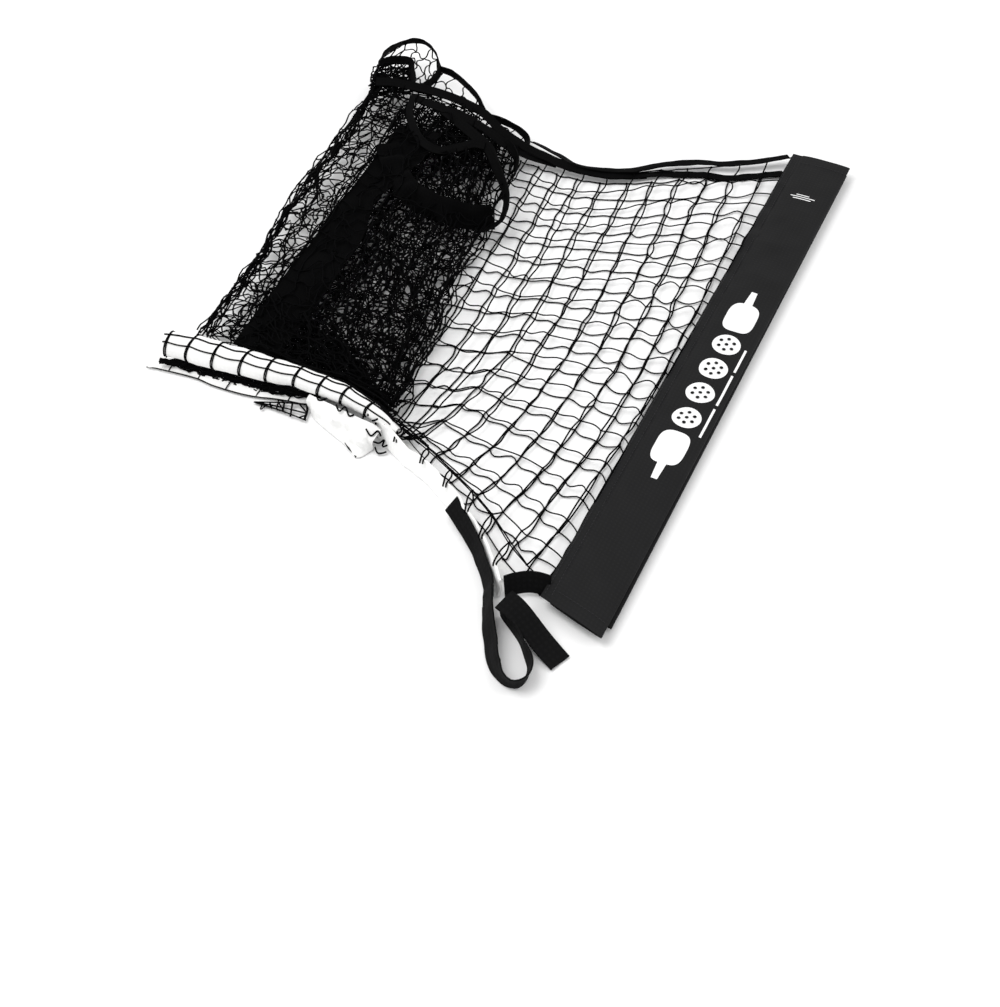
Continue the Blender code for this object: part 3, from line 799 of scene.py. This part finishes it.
ON_EDGE = 114  # this lean shows the camera a tape's edge
bindings = {
    "binding_upper_tape": (["binding_upper_run"], "hinged", 0.0110, (15, 10, 10, 10, 10, 15, 25, 30), [
        (0.2362, 0.4275, 0.0136), (0.207, 0.4070, 0.0105), (0.190, 0.3965, 0.0100), (0.171, 0.3855, 0.0098),
        (0.152, 0.3790, 0.0098), (0.133, 0.3705, 0.0098), (0.114, 0.3610, 0.0098), (0.096, 0.3475, 0.0098),
        (0.082, 0.3350, 0.0100), (0.068, 0.3220, 0.0105), (0.048, 0.3115, 0.0120), (0.0270, 0.3045, 0.0125),
        (0.0000, 0.3020, 0.0130), (-0.0190, 0.3085, 0.0135), (-0.0440, 0.3165, 0.0140),
        (-0.0640, 0.3195, 0.0145)]),
    "binding_lower_tape": (["binding_lower_run"], "folded_net", 0.0110, 6, [
        (0.2380, 0.4040, 0.0040), (0.202, 0.3830, 0.0020), (0.176, 0.3685, 0.0018), (0.152, 0.3625, 0.0020),
        (0.129, 0.3530, 0.0025), (0.107, 0.3430, 0.0035), (0.088, 0.3300, 0.0050), (0.0605, 0.3090, 0.0080),
        (0.0349, 0.2995, 0.0090), (0.0014, 0.2945, 0.0110), (-0.0267, 0.2935, 0.0150),
        (-0.0560, 0.2930, 0.0200),
        (-0.0860, 0.2900, 0.0240)]),
    "binding_loop_1": (["binding_fold_loop_1"], "folded_net", 0.0102, (
        ON_EDGE, ON_EDGE, ON_EDGE, ON_EDGE, 112, 108, 104, 104, 100), [
        (-0.2990, 0.3640, 0.0360), (-0.3040, 0.3740, 0.0370), (-0.3040, 0.3900, 0.0375),
        (-0.2985, 0.4080, 0.0375),
        (-0.2880, 0.4250, 0.0375), (-0.2740, 0.4310, 0.0375), (-0.2600, 0.4270, 0.0370),
        (-0.2430, 0.4150, 0.0350),
        (-0.2300, 0.3970, 0.0320), (-0.2250, 0.3790, 0.0300), (-0.2260, 0.3600, 0.0300),
        (-0.2290, 0.3420, 0.0330)]),
    "binding_loop_2": (["binding_fold_loop_2"], "folded_net", 0.0105, (104, 92, 88, 88), [
        (-0.2290, 0.3990, 0.0270), (-0.208, 0.3920, 0.0290), (-0.186, 0.3800, 0.0290),
        (-0.165, 0.3680, 0.0260),
        (-0.1510, 0.3550, 0.0220), (-0.1380, 0.3450, 0.0170)]),
    "binding_loop_3": (["binding_fold_loop_3"], "folded_net", 0.0102, (96, 92, 90, 90, 84, 74, 60), [
        (-0.1400, 0.3440, 0.0160), (-0.1161, 0.3430, 0.0160), (-0.0992, 0.3388, 0.0160),
        (-0.0801, 0.3302, 0.0150),
        (-0.0690, 0.3200, 0.0140), (-0.0640, 0.3080, 0.0140), (-0.0660, 0.2960, 0.0160)]),
    "binding_top_tape": (["binding_stack_run"], "folded_net", 0.0108, (35, 30, 28, 25, 25, 20, 15, 12), [
        (-0.2823, 0.3200, 0.0410), (-0.2620, 0.3265, 0.0420), (-0.2415, 0.3291, 0.0420),
        (-0.1971, 0.3305, 0.0420),
        (-0.1580, 0.3264, 0.0400), (-0.1284, 0.3183, 0.0380), (-0.0980, 0.3020, 0.0330),
        (-0.0692, 0.2950, 0.0270),
        (-0.0479, 0.2942, 0.0210), (-0.0267, 0.2945, 0.0170), (0.0014, 0.2950, 0.0130),
        (0.0349, 0.2998, 0.0108),
        (0.0605, 0.3090, 0.0093), (0.0860, 0.3285, 0.0048)]),
    "binding_second_tape": ([], "folded_net", 0.0115, (10, 15, 20, 20, 20, 15), [
        (-0.2250, 0.3112, 0.0400), (-0.2050, 0.3075, 0.0400), (-0.1845, 0.3048, 0.0400),
        (-0.1458, 0.3009, 0.0385),
        (-0.1124, 0.2919, 0.0350), (-0.0850, 0.2850, 0.0280), (-0.0600, 0.2875, 0.0200),
        (-0.0190, 0.2945, 0.0118)]),
    "binding_cap_tape": ([], "folded_net", 0.0102, (70, 65, 60, 50, 40), [
        (-0.2971, 0.3591, 0.0390), (-0.2920, 0.3670, 0.0400), (-0.2867, 0.3725, 0.0400),
        (-0.2760, 0.3790, 0.0400),
        (-0.2660, 0.3800, 0.0400), (-0.2590, 0.3750, 0.0400), (-0.2534, 0.3640, 0.0400),
        (-0.2450, 0.3500, 0.0400),
        (-0.2381, 0.3350, 0.0410)]),
    "binding_inner_tape": (["binding_inner_loop"], "folded_net", 0.0102, (20, 30, 35, 35, 30, 25), [
        (-0.2240, 0.3140, 0.0415), (-0.2200, 0.2950, 0.0415), (-0.2110, 0.2740, 0.0415),
        (-0.1960, 0.2540, 0.0415),
        (-0.1770, 0.2340, 0.0415), (-0.1600, 0.2250, 0.0415), (-0.1430, 0.2240, 0.0415),
        (-0.1261, 0.2374, 0.0415),
        (-0.1131, 0.2520, 0.0415), (-0.0990, 0.2558, 0.0405)]),
    "binding_side_tape": ([], "folded_net", 0.0125, (20, 30, 30, 35, 50, 60, 60, 45, 30), [
        (-0.1766, 0.3008, 0.0412), (-0.1489, 0.2858, 0.0412), (-0.1192, 0.2696, 0.0405),
        (-0.0947, 0.2561, 0.0390),
        (-0.0714, 0.2291, 0.0365), (-0.0522, 0.2068, 0.0340), (-0.0383, 0.1860, 0.0315),
        (-0.0300, 0.1661, 0.0290),
        (-0.0275, 0.1485, 0.0270), (-0.0320, 0.1349, 0.0255), (-0.0420, 0.1235, 0.0240)]),
    "binding_corner_tape": ([], "folded_net", 0.0104, (35, 55, 70, 70), [
        (-0.0877, 0.2880, 0.0300), (-0.0730, 0.2797, 0.0280), (-0.0603, 0.2646, 0.0262),
        (-0.0530, 0.2479, 0.0250),
        (-0.0500, 0.2325, 0.0240)]),
}
for k, (name, (nodes, body, width, lean, points)) in enumerate(bindings.items()):
    grid = tape_grid(points, width, lean, count=90, ripple=0.0004, seed=50 + k)
    piece = slab(name, grid, 0.0016, binding, body)
    if nodes:
        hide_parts(*nodes)
    length = np.linalg.norm(np.diff(grid[:, 2], axis=0), axis=1).sum()

FAR_FANS = [  # the netting inside each loop of binding: its rim, then where it comes from
    ([(-0.3030, 0.3780, 0.036), (-0.2880, 0.4240, 0.038), (-0.2700, 0.4290, 0.038), (-0.2450, 0.4150, 0.036),
      (-0.2270, 0.3850, 0.031)],
     [(-0.2960, 0.3450, 0.036), (-0.2800, 0.3400, 0.037), (-0.2640, 0.3400, 0.037),
      (-0.2480, 0.3380, 0.036), (-0.2320, 0.3380, 0.034)],
     6, 4),
    ([(-0.2260, 0.3980, 0.026), (-0.1950, 0.3850, 0.028), (-0.1650, 0.3670, 0.025), (-0.1400, 0.3470, 0.017)],
     [(-0.2200, 0.3400, 0.026), (-0.1950, 0.3370, 0.026), (-0.1650, 0.3350, 0.024),
      (-0.1420, 0.3320, 0.020)], 4, 2),
    ([(-0.1340, 0.3450, 0.014), (-0.1090, 0.3410, 0.015), (-0.0830, 0.3310, 0.014), (-0.0660, 0.3150, 0.012)],
     [(-0.1300, 0.3230, 0.016), (-0.1080, 0.3120, 0.016), (-0.0880, 0.3060, 0.014),
      (-0.0700, 0.3000, 0.012)], 4, 2),
]
far_lines = []
for rim, foot, cols, rows in FAR_FANS:
    rim, foot = smooth(rim, 40), smooth(foot, 40)

    def fan_place(u, v, rim=rim, foot=foot, cols=cols, rows=rows):
        spot = np.clip(u / cols, 0, 1) * 40
        pick = lambda line: np.stack([np.interp(spot, np.arange(41), line[:, k]) for k in range(3)], axis=1)
        w = np.clip(v / rows, 0, 1)[:, None]
        return pick(foot) * (1 - w) + pick(rim) * w

    far_lines += net_lines(fan_place, cols, rows, 6, 0.10, 0.0008, loose_along, loose_across, knot=1.6)
far_net = strands("far_fold_netting", far_lines, netting, "folded_net", sides=4)
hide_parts("netting_far_fold")


# ---------------------------------------------------------------- post sleeves

SLEEVE_WIDTH, SLEEVE_TALL, END_SLANT = 0.0607, 0.0084, 0.30
puff = waves(0.16, 61)
wrinkle = waves(0.055, 63)


def pocket_lift(s, share):
    """How far the pocket's cloth stands off its middle. s runs across it and share along it, from 0 to 1."""
    across = np.clip(np.sin(math.pi * np.clip(s, 0, 1)), 0, 1) ** 0.45
    along = 0.42 + 0.50 * np.clip(np.sin(math.pi * np.clip(share, 0, 1)), 0, 1) ** 0.5
    wave = 1 + 0.10 * puff(s * 0.06, share * 0.8) + 0.08 * wrinkle(s * 0.06, share * 0.8)
    return SLEEVE_TALL / 2 * across * along * wave


def make_sleeve(name, seam_name, pocket_node, seam_node, body, outer_x, near_y, far_y, middle, taper=0.0):
    across, along = 26, 120
    inner_x = outer_x - SLEEVE_WIDTH
    s = np.concatenate([np.linspace(0, 1, across), np.linspace(1, 0, across)[1:]])
    sign = np.concatenate([np.ones(across), -np.ones(across - 1)])
    s = 0.5 - 0.5 * np.cos(math.pi * s)
    x = inner_x + SLEEVE_WIDTH * s
    near = near_y + END_SLANT * (outer_x - x)
    v = np.linspace(0, 1, along)[:, None]
    y = near[None, :] + v * (far_y - near)[None, :]
    hem = 0.0003 * ((y - near[None, :] < 0.016) | (far_y - y < 0.016))
    lift = pocket_lift(s[None, :] + 0 * v, v + 0 * s[None, :])
    z = np.maximum(middle + sign[None, :] * (lift + hem), 0.0006)
    grid = np.stack([x[None, :] - taper * s[None, :] * v, y, z], axis=-1)
    pocket = slab(name, grid, 0.0007, cloth, body, sharp=70)
    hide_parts(pocket_node)
    x = np.linspace(inner_x - 0.0118, inner_x + 0.0012, 6)
    near = near_y + END_SLANT * (outer_x - x)
    y = near[None, :] + v * (far_y - near)[None, :]
    z = middle + 0.0004 * waves(0.03, 62)(y, 0 * y) + 0 * y
    seam_grid = np.stack([np.broadcast_to(x[None, :], y.shape), y, z], axis=-1)
    seam = slab(seam_name, seam_grid, 0.0012, cloth, body)
    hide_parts(seam_node)


SLEEVE_A = {"outer_x": 0.313, "near_y": -0.364, "far_y": 0.434, "middle": 0.014}
make_sleeve("sleeve_a_cloth", "sleeve_a_seam", "post_sleeve_a", "sleeve_a_seam_tape", "sleeve_a", **SLEEVE_A)
make_sleeve(
    "sleeve_b_cloth", "sleeve_b_seam", "post_sleeve_b", "sleeve_b_seam_tape", "folded_net",
    0.315, -0.343, 0.430, 0.0045,
    taper=0.0035,
)


def top_of_sleeve(x, y):
    near = SLEEVE_A["near_y"] + END_SLANT * (SLEEVE_A["outer_x"] - x)
    s = (x - SLEEVE_A["outer_x"] + SLEEVE_WIDTH) / SLEEVE_WIDTH
    return SLEEVE_A["middle"] + pocket_lift(s, (y - near) / (SLEEVE_A["far_y"] - near)) + 0.0004


def stitches(name, path, pitch, length, body, radius=0.00025):
    """Thread showing along a sewn line, one short stitch after another."""
    count = int(np.linalg.norm(np.diff(path, axis=0), axis=1).sum() / pitch)
    points = smooth(path, count)
    lines = []
    for a, b in zip(points, points[1:]):
        spots = a + (b - a) * np.linspace(0.5 - length / pitch / 2, 0.5 + length / pitch / 2, 4)[:, None]
        spots[:, 2] += np.array((-0.0002, 0.0002, 0.0002, -0.0002))
        lines.append((spots, radius))
    strands(name, lines, thread, body, sides=4)


for row, x in enumerate((0.2432, 0.2500)):
    y = np.linspace(-0.338, 0.430, 12)
    row_points = np.stack([np.full(12, x), y, np.full(12, 0.0148)], axis=1)
    stitches(f"seam_stitch_{row + 1}", row_points, 0.0045, 0.0030, "sleeve_a")
for row, (shift, slant) in enumerate(((0.016, END_SLANT), (0.782, 0.0))):
    x = np.linspace(0.2540, 0.3105, 14)
    y = SLEEVE_A["near_y"] + shift + slant * (SLEEVE_A["outer_x"] - x)
    path = np.stack([x, y, top_of_sleeve(x, y) + 0.0003], axis=1)
    stitches(f"hem_stitch_{row + 1}", path, 0.0045, 0.0030, "sleeve_a")


def printed(name, outlines, colour, proud=0.0003):
    """Flat shapes on the sleeve's upper face, following it. Each outline is a closed run of (y, x) points."""
    bm = bmesh.new()
    for outline in outlines:
        bm.faces.new([bm.verts.new((x, y, 0)) for y, x in outline])
    cuts = (((1, 0, 0), np.arange(0.258, 0.312, 0.004)), ((0, 1, 0), np.arange(-0.16, 0.40, 0.008)))
    for axis, spots in cuts:
        for spot in spots:
            bmesh.ops.bisect_plane(
                bm, geom=bm.verts[:] + bm.edges[:] + bm.faces[:],
                plane_co=tuple(spot * a for a in axis), plane_no=axis,
            )
    for vert in bm.verts:
        vert.co.z = float(top_of_sleeve(vert.co.x, vert.co.y)) + proud
    bmesh.ops.recalc_face_normals(bm, faces=bm.faces)
    if sum(f.normal.z for f in bm.faces) < 0:
        bmesh.ops.reverse_faces(bm, faces=bm.faces)
    mesh = bpy.data.meshes.new(name)
    bm.to_mesh(mesh)
    bm.free()
    mesh.materials.append(colour)
    made = bpy.data.objects.new(name, mesh)
    bpy.context.collection.objects.link(made)
    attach(made, "sleeve_a")


def disc(along, over, radius, count=28):
    angles = np.linspace(0, 2 * math.pi, count, endpoint=False)
    return [(along + radius * math.cos(a), over + radius * math.sin(a)) for a in angles]


def box(along_0, along_1, over_0, over_1):
    return [(along_0, over_0), (along_1, over_0), (along_1, over_1), (along_0, over_1)]


def paddle(grip_end, way, over):
    """A paddle's outline, its grip's end at grip_end and its face away from there."""
    outline = [(0.0, 0.0034), (0.0, -0.0034)]
    for a in np.linspace(-math.pi, math.pi, 65)[2:-2]:
        c, s = math.cos(a), math.sin(a)
        size = (abs(c / 0.0245) ** 3.4 + abs(s / 0.0172) ** 3.4) ** (-1 / 3.4)
        along, side = 0.0475 + size * c, size * s
        outline.append((along, math.copysign(max(abs(side), 0.0034), side)))
    return [(grip_end + way * along, over + side) for along, side in outline]


BALLS = [(place, 0.2840) for place in (-0.0595, -0.0182, 0.0232, 0.0645)]
paddles = [paddle(-0.155, 1, 0.2840), paddle(0.160, -1, 0.2840)]
printed("sleeve_print_main", paddles + [disc(*ball, 0.0158) for ball in BALLS], ink)
holes = []
for along, over in BALLS:
    holes.append((along, over))
    ring = np.radians(np.arange(0, 360, 60))
    holes += [(along + 0.0086 * math.cos(a), over + 0.0086 * math.sin(a)) for a in ring]
printed("sleeve_print_holes", [disc(*hole, 0.0021, 14) for hole in holes], cloth, proud=0.0009)
printed(
    "sleeve_print_line",
    [box(first, last, 0.3050, 0.3076) for first, last in ((-0.080, -0.034), (-0.028, 0.022), (0.028, 0.066))],
    ink,
)
printed(
    "sleeve_print_care",
    [box(0.346, 0.3475, 0.268, 0.290), box(0.3500, 0.3515, 0.264, 0.294), box(0.3540, 0.3555, 0.270, 0.286)],
    ink,
)


# ---------------------------------------------------------------- tension strap

straps = {
    "strap_bridge": ("tension_strap_bridge", "crossing", 0.0240, 72, 0.047, [
        (0.2035, -0.3455, 0.0140), (0.212, -0.3395, 0.0165), (0.222, -0.3330, 0.0168),
        (0.232, -0.3285, 0.0155),
        (0.2440, -0.3250, 0.0122)]),
    "strap_tail": ("tension_strap_tail", "strap_tail", 0.0200, (46, 60, 67, 68, 64), 0.126, [
        (0.1110, -0.2712, 0.0164), (0.1432, -0.2976, 0.0137), (0.1700, -0.3245, 0.0115),
        (0.1860, -0.3450, 0.0115),
        (0.1920, -0.3575, 0.0118)]),
    "strap_loop": ("tension_strap_loop", "strap_loop", 0.0215, (66, 60, 58, 68, 108, 104, 90, 88, 86), 0.204, [
        (0.1962, -0.3668, 0.0112), (0.2010, -0.3775, 0.0108), (0.2085, -0.3925, 0.0105),
        (0.2180, -0.4080, 0.0100),
        (0.2320, -0.4295, 0.0100), (0.2465, -0.4430, 0.0095), (0.2600, -0.4445, 0.0095),
        (0.2665, -0.4340, 0.0100),
        (0.2640, -0.4190, 0.0105), (0.2530, -0.4050, 0.0110), (0.2360, -0.3890, 0.0115),
        (0.2110, -0.3710, 0.0120)]),
    "strap_tab": ("tension_strap_tab", "strap_tab", 0.0240, (10, 4, 0, 0, 0), 0.083, [
        (0.2130, -0.3675, 0.0245), (0.2280, -0.3730, 0.0240), (0.2460, -0.3810, 0.0175),
        (0.2660, -0.3900, 0.0080),
        (0.2860, -0.3985, 0.0018)]),
}
for k, (name, (node, body, width, lean, length, points)) in enumerate(straps.items()):
    grid = tape_grid(points, width, lean, count=70, across=6, ripple=0.0003, seed=80 + k)
    if body == "crossing":
        piece = slab(name, grid, 0.0018, webbing)
        start, end = (0.2260, -0.3310, 0.0140), (0.2410, -0.3260, 0.0140)
        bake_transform(piece)
    else:
        piece = slab(name, grid, 0.0018, webbing, body)
    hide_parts(node)

tack = slab(
    "strap_tack",
    tape_grid(
        [(0.1908, -0.3550, 0.0116), (0.1936, -0.3608, 0.0114), (0.1966, -0.3675, 0.0111)], 0.0210, 66, count=10
    ),
    0.0026, webbing, "upper_leaf",
)
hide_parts("headband_end_tack")
